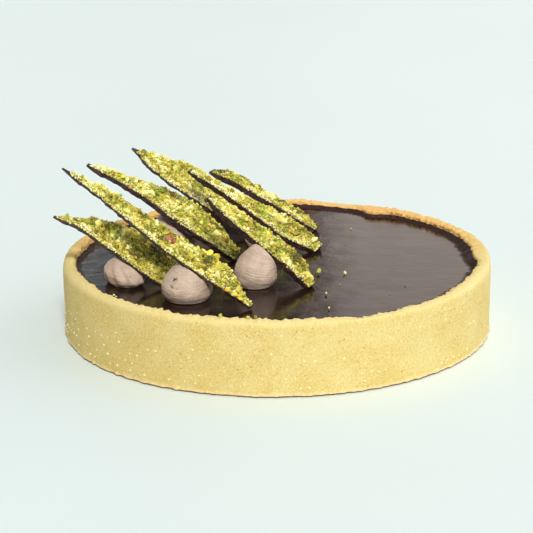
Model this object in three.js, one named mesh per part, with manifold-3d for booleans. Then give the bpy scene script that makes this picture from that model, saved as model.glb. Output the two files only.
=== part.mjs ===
// A round chocolate tart: a shortcrust case, a poured ganache filling, dollops of piped mousse,
// and a sheaf of chocolate shards with pistachio nibs, each leaning on a dollop of its own.
// Millimetres, +Z up. The origin is the centre of the flat underside.

import * as THREE from 'three';
import { mergeVertices } from 'three/addons/utils/BufferGeometryUtils.js';
import Module from 'manifold-3d';

const wasm = await Module();
wasm.setup();

// ---------------------------------------------------------------- driving dimensions

const CASE = {
  radius: 100,        // outer radius at the widest
  height: 35,         // nominal height of the rim
  wall: 6.4,          // thickness of the wall just under the rim
  floor: 4,           // thickness of the base
  foot: 1.2,          // how far the wall draws in at the base
  segments: 96,
};
const GANACHE_LEVEL = 31.5;   // height of the flat top of the filling
const MENISCUS = 1.3;         // how far the filling climbs where it meets the wall
const GAP = 0.3;              // clearance between neighbouring pieces

// Where the rim strays from a true ring: at an angle, over a half width, the inner edge comes
// inward and the top rises (or sinks, where negative).
const RIM_FEATURES = [
  { at: 57, spread: 4.5, inward: 5.2, rise: -0.3 },
  { at: 70, spread: 9, inward: 1.2, rise: -2.2 },
  { at: 42, spread: 20, inward: 1.2, rise: -0.6 },
  { at: -2, spread: 4.5, inward: 1.7, rise: 0.2 },
  { at: -10, spread: 4, inward: -1.4, rise: -0.3 },
  { at: -69, spread: 5, inward: -1.0, rise: -1.2 },
  { at: -96, spread: 5, inward: 1.8, rise: 0.3 },
];

// Mousse dollops: centre on the ganache, radius, free height before a shard presses on it, how far
// the peak leans and to which side, and how much longer the foot is towards that side than across.
const DOLLOPS = [
  { x: -67, y: -32.5, radius: 12.2, height: 12.5, lean: 5, turn: 128, stretch: 1.3 },
  { x: -38, y: -57, radius: 13.4, height: 20, lean: 4, turn: 30, stretch: 1 },
  { x: -6.5, y: -34, radius: 13.2, height: 20, lean: 3, turn: 40, stretch: 1 },
  { x: -3, y: 21, radius: 12.2, height: 12, lean: 3, turn: 150, stretch: 1.05 },
  { x: -50, y: 17, radius: 12.4, height: 22, lean: 3, turn: 60, stretch: 1 },
  { x: -36, y: 58, radius: 12.4, height: 20, lean: 3, turn: 90, stretch: 1 },
  { x: -5, y: 63, radius: 11.2, height: 13.5, lean: 3, turn: 20, stretch: 1.1 },
];

// Chocolate shards. foot is the middle of the low end on the ganache, heading turns the raised tip
// from -X towards +Y, pitch lifts it, bank lifts the far long edge. near and far are the half
// widths either side of the centre line, from the foot to the tip at equal steps.
const SHARDS = [
  { foot: [-49.9, -42.6, 33], length: 60.4, heading: 16.9, pitch: 27.4, bank: 14, thickness: 1.6,
    near: [1.4, 1.2, -0.6, -1.8, -3.4, -0.3], far: [18, 22, 22.5, 20, 12, 1.6], nibs: 17, seed: 11 },
  { foot: [-11.8, -75.2, 33], length: 110.8, heading: 31.1, pitch: 26.7, bank: 10, thickness: 1.4,
    near: [0.2, 2.0, 3.2, 2.0, 0.6, 0], far: [2, 12, 10, 8.8, 6.6, 0.8], nibs: 23, seed: 23 },
  { foot: [-20, -3.2, 33], length: 83, heading: 15.4, pitch: 29.4, bank: 12, thickness: 2.4,
    near: [0.6, -0.8, -0.8, -3.6, -3.6, -1.2], far: [6, 14, 18, 16, 9.8, 3.0], nibs: 20, seed: 37 },
  { foot: [-12, 40.4, 33], length: 73.6, heading: 20, pitch: 30.6, bank: 14, thickness: 1.4,
    near: [3, 3.3, 3.9, 4.6, 3.6, -0.6], far: [8, 13, 16, 17, 10, 1.8], nibs: 18, seed: 41 },
  { foot: [19.6, 12.1, 33], length: 74, heading: 21.1, pitch: 26.1, bank: 10, thickness: 2.6,
    near: [3, 6.2, 4.0, 1.6, -0.2, 0], far: [5, 9.4, 8.6, 6.6, 4.6, 3.6], nibs: 16, seed: 59 },
  { foot: [15.7, -44.4, 33], length: 62.3, heading: 23.4, pitch: 34.5, bank: 12, thickness: 3,
    near: [2.9, 1.6, 1.6, 1.6, 1.6, 0], far: [3, 10.5, 10, 9.4, 7.4, 2.4], nibs: 16, seed: 61 },
  { foot: [18.4, 44.8, 33], length: 60.8, heading: 22.5, pitch: 24.2, bank: -4, thickness: 2.8,
    near: [-1.2, -1.4, -3.2, -2.6, -3.4, 0.8], far: [6, 13, 13, 13.5, 13.5, 6], nibs: 14, seed: 73 },
];
const CRUMB_BED = { inset: 0.7, depth: 0.9 };
const NIB = { smallest: 0.9, largest: 2.1, margin: 1.5 };

// ---------------------------------------------------------------- materials

const finish = (color, roughness, metalness = 0) =>
  new THREE.MeshStandardMaterial({ color, roughness, metalness });
const SHORTCRUST = finish(0xe6cf8c, 0.85);
const GANACHE = finish(0x2a1715, 0.12);
const MOUSSE = finish(0xa8958c, 0.7);
const PISTACHIO_SHARD = finish(0xb9b65a, 0.8);

// ---------------------------------------------------------------- helpers

// A repeatable random source: each call gives a number from 0 to 1.
function randomSource(seed) {
  let state = seed * 2654435761 % 4294967296;
  return () => {
    state = (state * 1664525 + 1013904223) % 4294967296;
    return state / 4294967296;
  };
}

function toSolid(geometry) {
  const bare = geometry.index ? geometry.clone() : mergeVertices(geometry.clone());
  bare.deleteAttribute('normal');
  bare.deleteAttribute('uv');
  const merged = mergeVertices(bare, 1e-4);
  return new wasm.Manifold(new wasm.Mesh({
    numProp: 3,
    vertProperties: new Float32Array(merged.attributes.position.array),
    triVerts: new Uint32Array(merged.index.array),
  }));
}

function toGeometry(solid) {
  const mesh = solid.getMesh();
  const geometry = new THREE.BufferGeometry();
  geometry.setAttribute('position', new THREE.BufferAttribute(mesh.vertProperties, 3));
  geometry.setIndex(new THREE.BufferAttribute(mesh.triVerts, 1));
  geometry.computeVertexNormals();
  return geometry;
}

function addPiece(parent, name, geometry, material) {
  const mesh = new THREE.Mesh(geometry, material);
  mesh.name = name;
  parent.add(mesh);
  return mesh;
}

// Moves every vertex of a geometry by a rule that takes and changes a Vector3.
function shapeVertices(geometry, rule) {
  const position = geometry.attributes.position;
  const point = new THREE.Vector3();
  for (let i = 0; i < position.count; i += 1) {
    point.fromBufferAttribute(position, i);
    rule(point);
    position.setXYZ(i, point.x, point.y, point.z);
  }
  return geometry;
}

// ---------------------------------------------------------------- case and filling

// Smooth bump of 1 at the feature's own angle, falling to 0 away from it.
function bumpAt(angle, feature) {
  const away = Math.atan2(Math.sin(angle - feature.at * THREE.MathUtils.DEG2RAD),
    Math.cos(angle - feature.at * THREE.MathUtils.DEG2RAD));
  const spread = feature.spread * THREE.MathUtils.DEG2RAD;
  return Math.exp(-((away / spread) ** 2));
}

// How far the inner edge of the wall lies inside its nominal radius.
function innerEdgeInward(angle) {
  const drift = 0.5 * Math.sin(3 * angle + 1.1) + 0.35 * Math.sin(7 * angle + 0.4)
    + 0.28 * Math.sin(16 * angle + 2.0) + 0.22 * Math.sin(27 * angle);
  return RIM_FEATURES.reduce((sum, f) => sum + f.inward * bumpAt(angle, f), drift);
}

function rimRise(angle) {
  const drift = 0.3 * Math.sin(2 * angle + 0.6) + 0.18 * Math.sin(5 * angle + 2.2)
    + 0.12 * Math.sin(19 * angle);
  return RIM_FEATURES.reduce((sum, f) => sum + f.rise * bumpAt(angle, f), drift);
}

// A turned solid, standing along +Z, from a profile of [radius, height] pairs.
function turned(profile, segments) {
  const points = profile.map(([r, z]) => new THREE.Vector2(r, z));
  return new THREE.LatheGeometry(points, segments).rotateX(Math.PI / 2);
}

// Moves the wall's inner face with the wandering edge, and its top with the wandering rim.
function wander(geometry) {
  const inner = CASE.radius - CASE.wall;
  return shapeVertices(geometry, (p) => {
    const angle = Math.atan2(p.y, p.x);
    const radius = Math.hypot(p.x, p.y);
    if (radius < inner * 0.8) return;
    const toInside = 1 - THREE.MathUtils.smoothstep(radius, inner + 0.6, inner + 4);
    const toTop = THREE.MathUtils.smoothstep(p.z, GANACHE_LEVEL + MENISCUS, CASE.height);
    const moved = radius - toInside * innerEdgeInward(angle);
    p.x *= moved / radius;
    p.y *= moved / radius;
    p.z += toTop * rimRise(angle);
  });
}

function caseGeometry() {
  const { radius: R, height: H, wall, floor, foot } = CASE;
  const inner = R - wall;
  const profile = [
    [0, 0], [R - foot, 0], [R - foot * 0.45, 0.8], [R - foot * 0.22, 2.4], [R - 0.2, H * 0.35],
    [R, H * 0.7], [R - 0.05, H - 3.4], [R - 0.6, H - 1.4], [R - 1.7, H - 0.3], [R - 3.1, H],
    [R - 4.7, H - 0.3], [inner + 0.5, H - 1.2], [inner, H - 2.4], [inner - 0.3, H * 0.6],
    [inner - 0.9, floor + 4], [inner - 3, floor], [0, floor],
  ];
  return wander(turned(profile, CASE.segments));
}

function fillingGeometry() {
  const inner = CASE.radius - CASE.wall - GAP;
  const base = CASE.floor + GAP;
  const profile = [
    [0, base], [inner - 3.2, base], [inner - 1.1, base + 4], [inner - 0.35, CASE.height * 0.6],
    [inner - 0.05, GANACHE_LEVEL + MENISCUS - 0.4], [inner - 0.8, GANACHE_LEVEL + MENISCUS],
    [inner - 2, GANACHE_LEVEL + 0.45], [inner - 4.4, GANACHE_LEVEL], [0, GANACHE_LEVEL],
  ];
  return wander(turned(profile, CASE.segments));
}

// ---------------------------------------------------------------- shards

function shardPlacement(shard) {
  const rad = THREE.MathUtils.degToRad;
  const group = new THREE.Group();
  group.position.set(...shard.foot);
  group.rotation.set(rad(shard.bank), rad(shard.pitch), -rad(shard.heading), 'ZYX');
  group.updateMatrixWorld(true);
  return group;
}

// Middle and half width of a shard at a place from the foot (0) to the tip (1).
function widthAt(shard, along) {
  const last = shard.near.length - 1;
  const i = Math.min(Math.floor(along * last), last - 1);
  const near = THREE.MathUtils.lerp(shard.near[i], shard.near[i + 1], along * last - i);
  const far = THREE.MathUtils.lerp(shard.far[i], shard.far[i + 1], along * last - i);
  return { middle: (far - near) / 2, half: (far + near) / 2 };
}

// The shard's outline in its own plane: x runs from the foot (0) to the tip (-length), y from the
// near long edge to the far one. grow widens it all round, or narrows it where negative.
function shardOutline(shard, grow) {
  const last = shard.near.length - 1;
  const edge = (side) => shard.near.map((_, i) => {
    const { middle, half } = widthAt(shard, i / last);
    const x = grow - (i / last) * (shard.length + 2 * grow);
    return new THREE.Vector2(x, middle + side * Math.max(half + grow, 0.25));
  });
  const nearEdge = edge(-1);
  const farEdge = edge(1).reverse();
  const shape = new THREE.Shape();
  shape.moveTo(nearEdge[0].x, nearEdge[0].y);
  shape.splineThru(nearEdge.slice(1));
  shape.lineTo(farEdge[0].x, farEdge[0].y);
  shape.splineThru(farEdge.slice(1));
  shape.closePath();
  return shape;
}

// A flat plate of a shard's outline between two heights above its chocolate's top face.
function plate(shard, grow, bottom, top) {
  const options = { depth: top - bottom, bevelEnabled: false, curveSegments: 2, steps: 1 };
  const geometry = new THREE.ExtrudeGeometry(shardOutline(shard, grow), options);
  return toSolid(geometry.translate(0, 0, bottom));
}

// A pistachio nib: a small uneven lump.
function nibGeometry(random) {
  const size = THREE.MathUtils.lerp(NIB.smallest, NIB.largest, random() ** 2);
  return new THREE.IcosahedronGeometry(size, 0)
    .scale(1 + 0.6 * random(), 0.8 + 0.4 * random(), 0.7 + 0.3 * random())
    .rotateX(random() * 3)
    .rotateZ(random() * 6);
}

function shardSolid(shard) {
  const random = randomSource(shard.seed);
  const matrix = shardPlacement(shard).matrixWorld;
  let solid = plate(shard, 0, -shard.thickness, 0)
    .add(plate(shard, -CRUMB_BED.inset, -0.4, CRUMB_BED.depth));
  for (let n = 0; n < shard.nibs; n += 1) {
    const along = 0.03 + 0.92 * ((n + random()) / shard.nibs);
    const { middle, half } = widthAt(shard, along);
    const side = random() * 2 - 1;
    if (half < NIB.margin) continue;
    const y = middle + side * (half - NIB.margin);
    const lift = CRUMB_BED.depth + 0.25;
    const nib = nibGeometry(random).translate(-along * shard.length, y, lift);
    solid = solid.add(toSolid(nib));
  }
  const ganache = new THREE.BoxGeometry(300, 300, 20)
    .translate(0, 0, GANACHE_LEVEL + GAP - 10)
    .applyMatrix4(matrix.clone().invert());
  return solid.subtract(toSolid(ganache));
}

// The space a shard needs above its underside, so that the mousse gives way under it.
function pressSolid(shard) {
  const space = plate(shard, GAP + 0.2, -shard.thickness - GAP, 14);
  const geometry = toGeometry(space).applyMatrix4(shardPlacement(shard).matrixWorld);
  return toSolid(geometry);
}

// ---------------------------------------------------------------- mousse

// A piped dollop: a round dome with soft folds that wind up it, its peak leaning to one side.
function dollopGeometry(dollop) {
  const { radius, height, lean, stretch } = dollop;
  const rings = 9;
  const profile = [[0, 0], [radius * 0.9, 0]];
  for (let i = 1; i < rings; i += 1) {
    const t = i / rings;
    profile.push([radius * Math.cos(t * Math.PI / 2) ** 0.72, height * t ** 0.9]);
  }
  profile.push([0, height]);
  return shapeVertices(turned(profile, 18), (p) => {
    const angle = Math.atan2(p.y, p.x);
    const up = p.z / height;
    const fold = 1 + 0.035 * Math.sin(2 * angle + up * 16 + dollop.x) * Math.sin(Math.PI * up);
    p.x = p.x * fold * stretch + lean * up * up;
    p.y = p.y * fold / stretch;
  }).rotateZ(THREE.MathUtils.degToRad(dollop.turn));
}

function dollopSolid(dollop, presses) {
  const place = [dollop.x, dollop.y, GANACHE_LEVEL + GAP];
  let solid = toSolid(dollopGeometry(dollop).translate(...place));
  for (const press of presses) solid = solid.subtract(press);
  return solid;
}

// ---------------------------------------------------------------- the tart

const tart = new THREE.Group();
addPiece(tart, 'crust_case', caseGeometry(), SHORTCRUST);
addPiece(tart, 'ganache_filling', fillingGeometry(), GANACHE);

const presses = SHARDS.map(pressSolid);
DOLLOPS.forEach((dollop, i) => {
  const geometry = toGeometry(dollopSolid(dollop, presses));
  addPiece(tart, `mousse_dollop_${i + 1}`, geometry, MOUSSE);
});

SHARDS.forEach((shard, i) => {
  const place = shardPlacement(shard);
  addPiece(place, `pistachio_shard_${i + 1}`, toGeometry(shardSolid(shard)), PISTACHIO_SHARD);
  tart.add(place);
});

export default tart;
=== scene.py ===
# %% [markdown]
# # A chocolate tart with pistachio shards
#
# A round shortcrust tart, filled with poured ganache and dressed with piped mousse and thin
# shards of chocolate under chopped pistachio. The solids of the tart come first, as a frame that
# holds every size and place. Each lesson below then makes one finer piece over its own solid.

# %% Load the solids
import math
from functools import cache
from itertools import pairwise

import bmesh
import bpy
import numpy as np
from mathutils import Matrix, Vector, noise


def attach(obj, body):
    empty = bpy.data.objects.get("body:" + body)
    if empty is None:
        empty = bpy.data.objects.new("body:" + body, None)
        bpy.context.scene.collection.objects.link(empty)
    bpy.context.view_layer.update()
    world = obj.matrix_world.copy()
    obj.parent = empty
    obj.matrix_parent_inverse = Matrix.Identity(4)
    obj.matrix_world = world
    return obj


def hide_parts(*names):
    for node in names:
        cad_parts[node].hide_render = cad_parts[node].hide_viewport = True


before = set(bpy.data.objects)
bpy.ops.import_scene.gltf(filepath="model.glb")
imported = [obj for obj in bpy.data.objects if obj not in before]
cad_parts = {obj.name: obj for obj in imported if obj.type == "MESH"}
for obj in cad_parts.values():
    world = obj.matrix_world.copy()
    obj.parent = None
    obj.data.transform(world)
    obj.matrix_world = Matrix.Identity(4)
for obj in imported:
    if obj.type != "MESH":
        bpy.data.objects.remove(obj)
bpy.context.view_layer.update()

print("solids:", sorted(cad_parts))

# %% [markdown]
# ## One unit for the kitchen
#
# Blender counts in metres, but a tart is easier to think about in millimetres. So every shape is
# modelled in millimetres, and one helper scales it by `MM` at the very end, when it turns the
# finished bmesh into an object. The same helper shades it, gives it its finish and lets it ride
# on the tart.

# %% From a bmesh to a piece of the tart
MM = 0.001


def piece_from(bm, name, finishes, sharp_over=None):
    """Turns a bmesh in millimetres into a named object in metres."""
    bmesh.ops.scale(bm, vec=(MM, MM, MM), verts=bm.verts)
    mesh = bpy.data.meshes.new(name)
    bm.to_mesh(mesh)
    bm.free()
    return piece_of(mesh, name, finishes, sharp_over)


def piece_of(mesh, name, finishes, sharp_over=None):
    """Shades a mesh, gives it its finishes and lets it ride on the tart."""
    mesh.shade_smooth()
    if sharp_over is not None:
        mesh.set_sharp_from_angle(angle=math.radians(sharp_over))
    for finish in finishes:
        mesh.materials.append(finish)
    piece = bpy.data.objects.new(name, mesh)
    bpy.context.collection.objects.link(piece)
    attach(piece, "root")
    triangles = sum(len(face.vertices) - 2 for face in mesh.polygons)
    print(f"{name}: {triangles} triangles")
    return piece


# %% [markdown]
# ## Small tools for form
#
# Baked and poured surfaces are never quite even. Two helpers are used all over: `smoothstep`
# fades an effect in between two places, and `rough` reads Blender's own repeatable noise, so
# that a bumpy rim looks the same each time the script runs.

# %% Fades and repeatable unevenness
def clamp(value, low=0.0, high=1.0):
    return max(low, min(high, value))


def lerp(a, b, share):
    return a + (b - a) * share


def smoothstep(value, low, high):
    share = clamp((value - low) / (high - low))
    return share * share * (3 - 2 * share)


def rough(point, grain, shift=0.0):
    """Noise from about -1 to 1 whose lumps are about grain millimetres wide."""
    return noise.noise(Vector(point) / grain + Vector((shift, shift * 0.7, -shift)))


print("smoothstep at the middle:", smoothstep(0.5, 0, 1))

# %% [markdown]
# ## Writing shader maths as plain sums
#
# A material in Blender is a graph of nodes. Wiring each Math node by hand hides what the material
# does, so `Signal` wraps a socket and lets Python's own signs add the nodes: `1 - mask * 0.5`
# makes two. `Finish` starts a material and adds any other node through one method.

# %% A shader value with ordinary signs
class Signal:
    """A shader value that takes part in sums, also when it stands on the right."""

    def __init__(self, finish, socket):
        self.finish = finish
        self.socket = socket

    def join(self, operation, first, second):
        settings = {"operation": operation}
        return self.finish.node("ShaderNodeMath", settings, {0: first, 1: second})

    def __add__(self, other):
        return self.join("ADD", self, other)

    def __sub__(self, other):
        return self.join("SUBTRACT", self, other)

    def __rsub__(self, other):
        return self.join("SUBTRACT", other, self)

    def __mul__(self, other):
        return self.join("MULTIPLY", self, other)

    def __pow__(self, other):
        return self.join("POWER", self, other)

    __radd__ = __add__
    __rmul__ = __mul__


print("a signal's methods:", sum(callable(tool) for tool in vars(Signal).values()))

# %% Colours as the eye sees them
def tint(red, green, blue):
    """A colour from 0 to 255 as the eye sees it, turned into the light that Blender counts."""
    shares = [value / 255 for value in (red, green, blue)]
    linear = [s / 12.92 if s <= 0.04045 else ((s + 0.055) / 1.055) ** 2.4 for s in shares]
    return (*linear, 1.0)


print("a warm white:", [round(v, 3) for v in tint(250, 240, 225)])

# %% A material that is built step by step
class Finish:
    """One material: a Principled shader and the nodes that feed it."""

    def __init__(self, name, tree=None, **constants):
        self.material = None
        if tree is None:
            self.material = bpy.data.materials.new(name)
            self.material.use_nodes = True
            tree = self.material.node_tree
            self.shader = tree.nodes["Principled BSDF"]
            for socket, value in constants.items():
                self.shader.inputs[socket.replace("_", " ")].default_value = value
        self.tree = tree

    def node(self, kind, settings=None, inputs=None, output=0):
        """Adds a node: its settings first, then the values or links of its sockets."""
        made = self.tree.nodes.new(kind)
        for setting, value in (settings or {}).items():
            if setting == "stops":
                self.set_stops(made.color_ramp, value)
            else:
                setattr(made, setting, value)
        for socket, value in (inputs or {}).items():
            self.feed(made.inputs[socket], value)
        return Signal(self, made.outputs[output])

    def set_stops(self, ramp, stops):
        while len(ramp.elements) < len(stops):
            ramp.elements.new(1.0)
        for element, (place, colour) in zip(ramp.elements, stops):
            element.position = place
            element.color = colour

    def feed(self, socket, value):
        if isinstance(value, Signal):
            self.tree.links.new(value.socket, socket)
        else:
            socket.default_value = value

    def surface(self, **sockets):
        for socket, value in sockets.items():
            self.feed(self.shader.inputs[socket.replace("_", " ")], value)
        return self.material

    def let_light_in(self, weight, reach, millimetres):
        """Light passes a little way into the food, by that reach for red, green and blue."""
        self.shader.inputs["Subsurface Weight"].default_value = weight
        self.shader.inputs["Subsurface Radius"].default_value = reach
        self.shader.inputs["Subsurface Scale"].default_value = millimetres * MM

    def place(self):
        return self.node("ShaderNodeTexCoord", output="Object")

    def axes(self):
        split = self.node("ShaderNodeSeparateXYZ", inputs={0: self.place()}).socket.node
        return [Signal(self, socket) for socket in split.outputs]

    def noise(self, grain, detail=2.0, stretch=(1, 1, 1), rough=0.5):
        """Noise from 0 to 1 whose lumps are about grain millimetres wide."""
        where = self.place()
        if stretch != (1, 1, 1):
            where = self.node("ShaderNodeMapping", inputs={0: where, "Scale": stretch})
        inputs = {"Vector": where, "Scale": 1 / (grain * MM), "Detail": detail, "Roughness": rough}
        return self.node("ShaderNodeTexNoise", inputs=inputs)

    def spots(self, grain, jitter=1.0):
        """Distance to the nearest of scattered points about grain millimetres apart."""
        inputs = {"Vector": self.place(), "Scale": 1 / (grain * MM), "Randomness": jitter}
        return self.node("ShaderNodeTexVoronoi", inputs=inputs)

    def read(self, attribute, output="Fac"):
        return self.node("ShaderNodeAttribute", {"attribute_name": attribute}, output=output)

    def fade(self, value, low, high, start=0.0, end=1.0):
        """Goes smoothly from start to end while value goes from low to high."""
        settings = {"interpolation_type": "SMOOTHSTEP"}
        inputs = {0: value, 1: low, 2: high, 3: start, 4: end}
        return self.node("ShaderNodeMapRange", settings, inputs)

    def blend(self, share, first, second, way="MIX"):
        """Mixes two colours, since a Math node would turn them grey."""
        settings = {"data_type": "RGBA", "blend_type": way}
        return self.node("ShaderNodeMix", settings, {0: share, 6: first, 7: second}, output=2)

    def ramp(self, value, stops):
        return self.node("ShaderNodeValToRGB", {"stops": stops}, {0: value})

    def bump(self, height, depth, under=None):
        """Relief of that depth in millimetres, laid over another relief if one is given."""
        inputs = {"Height": height, "Distance": depth * MM, "Strength": 1.0}
        if under is not None:
            inputs["Normal"] = under
        return self.node("ShaderNodeBump", inputs=inputs)


print("a finish's methods:", sum(callable(tool) for tool in vars(Finish).values()))

# %% [markdown]
# ## Camera, table and light
#
# The tart is seen from a little above, across the table, with a long lens that keeps its sides
# nearly parallel. The camera stands on a line of its own angle and distance, and is then panned, tilted
# and rolled by small amounts, as a hand-held camera is. The light is one soft lamp high up in
# front, a little to the right. It is a sun lamp, since that lights the whole table evenly, and its
# wide angle softens the shadows. The room around it is pale, with a brighter wall behind the tart,
# because that is what the glossy filling mirrors. A dark card in front of the left part of that
# wall keeps the mirror dark beside the dollops.

# %% The camera
IMAGE_SIDE = 533            # the image is square
FOCAL_LENGTH_PX = 2000.0
SENSOR_MM = 36.0
CAMERA_AWAY = 949.17        # from the middle of the tart's underside
CAMERA_ELEVATION = 18.71
CAMERA_PAN = -0.31
CAMERA_TILT = 17.08
CAMERA_ROLL = -0.56


def camera_turn(pan, tilt, roll):
    """The camera's own right, up and backward directions as the columns of a matrix."""
    pan, tilt, roll = (math.radians(angle) for angle in (pan, tilt, roll))
    forward = Vector((math.sin(pan) * math.cos(tilt), math.cos(pan) * math.cos(tilt), -math.sin(tilt)))
    level = Vector((math.cos(pan), -math.sin(pan), 0))
    upright = level.cross(forward)
    right = level * math.cos(roll) + upright * math.sin(roll)
    up = upright * math.cos(roll) - level * math.sin(roll)
    return Matrix((right, up, -forward)).transposed().to_4x4()


elevation = math.radians(CAMERA_ELEVATION)
camera_data = bpy.data.cameras.new("camera")
camera_data.sensor_width = SENSOR_MM
camera_data.lens = FOCAL_LENGTH_PX / IMAGE_SIDE * SENSOR_MM
camera_data.clip_end = 50
camera = bpy.data.objects.new("camera", camera_data)
camera_place = Vector((0, -math.cos(elevation), math.sin(elevation))) * CAMERA_AWAY * MM
camera.matrix_world = Matrix.Translation(camera_place) @ camera_turn(CAMERA_PAN, CAMERA_TILT, CAMERA_ROLL)
bpy.context.collection.objects.link(camera)
bpy.context.scene.camera = camera
print("lens:", round(camera_data.lens, 1), "mm")

# %% The table
TABLE_HALF = 6000           # far enough that its edge never shows


def table_finish():
    finish = Finish("pale_table", Roughness=0.55)
    drift = finish.noise(grain=400, detail=3)
    finish.surface(Base_Color=finish.blend(drift, tint(211, 223, 222), tint(219, 230, 229)))
    return finish.material


bm = bmesh.new()
bmesh.ops.create_grid(bm, x_segments=8, y_segments=8, size=TABLE_HALF * MM)
table_mesh = bpy.data.meshes.new("table")
bm.to_mesh(table_mesh)
bm.free()
table_mesh.materials.append(table_finish())
table = bpy.data.objects.new("table", table_mesh)
bpy.context.collection.objects.link(table)
print("table:", 2 * TABLE_HALF * MM, "m across")

# %% The lamp and the room
LAMP_SOFTNESS = 11.0        # how wide it looks from the table, in degrees
LAMP_STRENGTH = 3.1
LAMP_ELEVATION = 44.0
LAMP_SIDE = 5.0             # how far it stands to the right of the camera's own direction

lamp_data = bpy.data.lights.new("lamp", "SUN")
lamp_data.angle = math.radians(LAMP_SOFTNESS)
lamp_data.energy = LAMP_STRENGTH
lamp_data.color = (1.0, 0.985, 0.95)
lamp = bpy.data.objects.new("lamp", lamp_data)
high = math.radians(LAMP_ELEVATION)
side = math.radians(LAMP_SIDE)
lamp_way = Vector((math.sin(side) * math.cos(high), -math.cos(side) * math.cos(high), math.sin(high)))
lamp.location = lamp_way
lamp.rotation_mode = "QUATERNION"
lamp.rotation_quaternion = lamp_way.to_track_quat("Z", "Y")
bpy.context.collection.objects.link(lamp)

ROOM_LIGHT = 0.26           # brightness of the room all round
ROOM_OVERHEAD = 0.38        # and straight above
ROOM_FRONT = 0.4            # share of it that is left behind the camera
ROOM_RIGHT = 1.05           # how much brighter its right side is
WALL_GLOW = 1.2             # how much brighter the pale wall behind the tart is
WALL_DIM = 0.95             # how much of that light a dark card on its left part takes away
ROOM_COLOUR = (0.95, 0.99, 1.0, 1)
WALL_COLOUR = (1.0, 0.87, 0.79, 1)


def light_room():
    world = bpy.data.worlds.new("room")
    bpy.context.scene.world = world
    world.use_nodes = True
    room = Finish("room", tree=world.node_tree)
    way = room.node("ShaderNodeTexCoord", output="Generated")
    split = room.node("ShaderNodeSeparateXYZ", inputs={0: way}).socket.node
    across, depth, rise = [Signal(room, socket) for socket in split.outputs]
    plain = room.fade(rise, 0.2, 0.8, ROOM_LIGHT, ROOM_OVERHEAD)
    plain = plain * room.fade(depth, -0.7, -0.1, ROOM_FRONT, 1.0)
    right = room.fade(across, 0.25, 0.8, 0.0, ROOM_RIGHT)
    wall = room.fade(rise, 0.02, 0.12) * room.fade(rise, 0.56, 0.40) * room.fade(depth, 0.2, 0.7)
    lower = room.fade(across, -0.1, -0.07)
    higher = room.fade(rise, 0.292, 0.308)
    card = room.fade(across, 0.03, 0.014) * (lower + higher - lower * higher)
    dim = card * wall * WALL_DIM
    warm = room.fade(across, -0.08, 0.04) * wall
    background = world.node_tree.nodes["Background"]
    strength = (plain + right + wall * WALL_GLOW) * (1 - dim)
    room.feed(background.inputs["Color"], room.blend(warm, ROOM_COLOUR, WALL_COLOUR))
    room.feed(background.inputs["Strength"], strength)


light_room()
bpy.context.scene.view_settings.view_transform = "Standard"
print("lamp direction:", [round(v, 2) for v in lamp_way])

# %% [markdown]
# ## The shortcrust case
#
# The real case is rolled dough, lined into a straight ring and baked. It could be built from a
# cylinder with a hole, but then every edge would be a machine's edge. Spinning a profile keeps
# the ring's true section in one place: a thin lip at the foot, a straight wall, a rounded rim and
# a thin inner face. Afterwards each point is moved: the inner edge wanders as the dough was
# trimmed, the rim rises and sinks a little, and the inner corner is nicked where crumbs broke off.

# %% The measures of the case
CASE_RADIUS = 100.0
CASE_HEIGHT = 35.0
WALL = 6.4
CASE_FLOOR = 4.0
GANACHE_LEVEL = 31.5
MENISCUS = 1.3
GAP = 0.3
INNER = CASE_RADIUS - WALL

# Angle, half width, how far the inner edge comes inward, how far the top rises there.
RIM_FEATURES = [
    (57, 4.5, 5.2, -0.3), (70, 9, 1.2, -2.2), (42, 20, 1.2, -0.6), (-2, 4.5, 1.7, 0.2),
    (-10, 4, -1.4, -0.3), (-69, 5, -0.8, -0.5), (-94, 2.5, 1.2, 0.1),
    (-140, 16, -1.7, -1.0), (-113, 9, -1.3, -0.5), (-91, 10, -1.7, -0.7), (-62, 16, -1.8, -1.1),
    (-42, 11, -1.3, -0.6),
]
# Angle, half width and depth of the larger nicks in the inner corner of the rim.
RIM_NICKS = [
    (-103.1, 0.6, 1.3), (-99.4, 0.45, 1.1), (-95.8, 0.7, 1.0), (-91.8, 0.5, 1.2),
    (-83.7, 0.5, 1.1), (-78.4, 0.7, 1.1), (-60, 0.6, 1.0), (-118, 0.6, 0.9), (-128, 0.7, 0.8),
]


def bump_at(angle, at, spread):
    away = angle - math.radians(at)
    away = math.atan2(math.sin(away), math.cos(away))
    return math.exp(-((away / math.radians(spread)) ** 2))


def on_ring(angle, grain, shift):
    """Unevenness along the inner edge, with lumps about grain millimetres long."""
    return rough((INNER * math.cos(angle), INNER * math.sin(angle), 0), grain, shift)


@cache
def inner_edge_inward(angle):
    drift = 0.5 * math.sin(3 * angle + 1.1) + 0.35 * math.sin(7 * angle + 0.4)
    bitten = 1 + 0.6 * bump_at(angle, -98, 45)
    drift += 0.6 * on_ring(angle, 6, 2)
    drift += bitten * (0.8 * on_ring(angle, 2.6, 5) + on_ring(angle, 1.35, 9))
    return drift + sum(inward * bump_at(angle, at, spread) for at, spread, inward, _ in RIM_FEATURES)


@cache
def rim_rise(angle):
    drift = 0.3 * math.sin(2 * angle + 0.6) + 0.18 * math.sin(5 * angle + 2.2)
    drift += 0.25 * on_ring(angle, 7, 12) + 0.45 * bump_at(angle, -98, 45) * on_ring(angle, 2.2, 52)
    return drift + sum(rise * bump_at(angle, at, spread) for at, spread, _, rise in RIM_FEATURES)


@cache
def nick_at(angle):
    return sum(depth * bump_at(angle, at, spread) for at, spread, depth in RIM_NICKS)


def angle_of(point):
    """The direction of a point seen from the tart's middle, rounded so that it can be reused."""
    return round(math.atan2(point.y, point.x), 4)


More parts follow.
